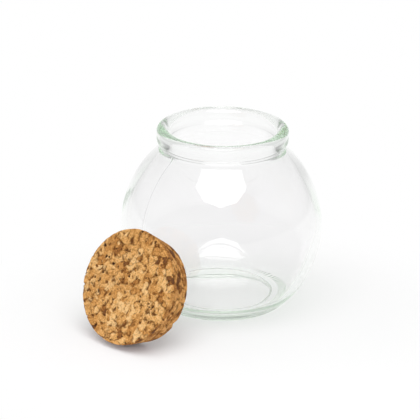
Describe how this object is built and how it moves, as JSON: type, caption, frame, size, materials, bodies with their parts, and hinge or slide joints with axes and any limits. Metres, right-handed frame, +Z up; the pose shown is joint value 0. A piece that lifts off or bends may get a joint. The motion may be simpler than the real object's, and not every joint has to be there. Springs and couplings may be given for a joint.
{
  "type": "glass jar with cork lid",
  "caption": "Ball-shaped clear glass jar with a beaded mouth and a knurled base ring, and its tapered cork stopper, taken off and leaning on the jar.",
  "frame": {"origin": "on the jar's axis, in the plane of the bearing ring that the jar stands on", "axes": "+Z up along the jar's axis, out of the mouth; -Y is the front, and the cork leans on the jar's front left, towards -X and -Y"},
  "size_m": [0.0997, 0.11, 0.0776],
  "materials": {
    "clear_glass": "clear, faintly green soda-lime glass, polished outside",
    "agglomerated_cork": "pressed cork granules, sanded and unsealed"
  },
  "bodies": {
    "jar": {"glass_jar": "clear_glass"},
    "cork": {"cork_stopper": "agglomerated_cork"}
  },
  "joints": [
    {"name": "cork_lift", "type": "slide", "parent": "jar", "child": "cork", "axis": [0, 0, 1], "range_m": [0, 0.08]}
  ]
}
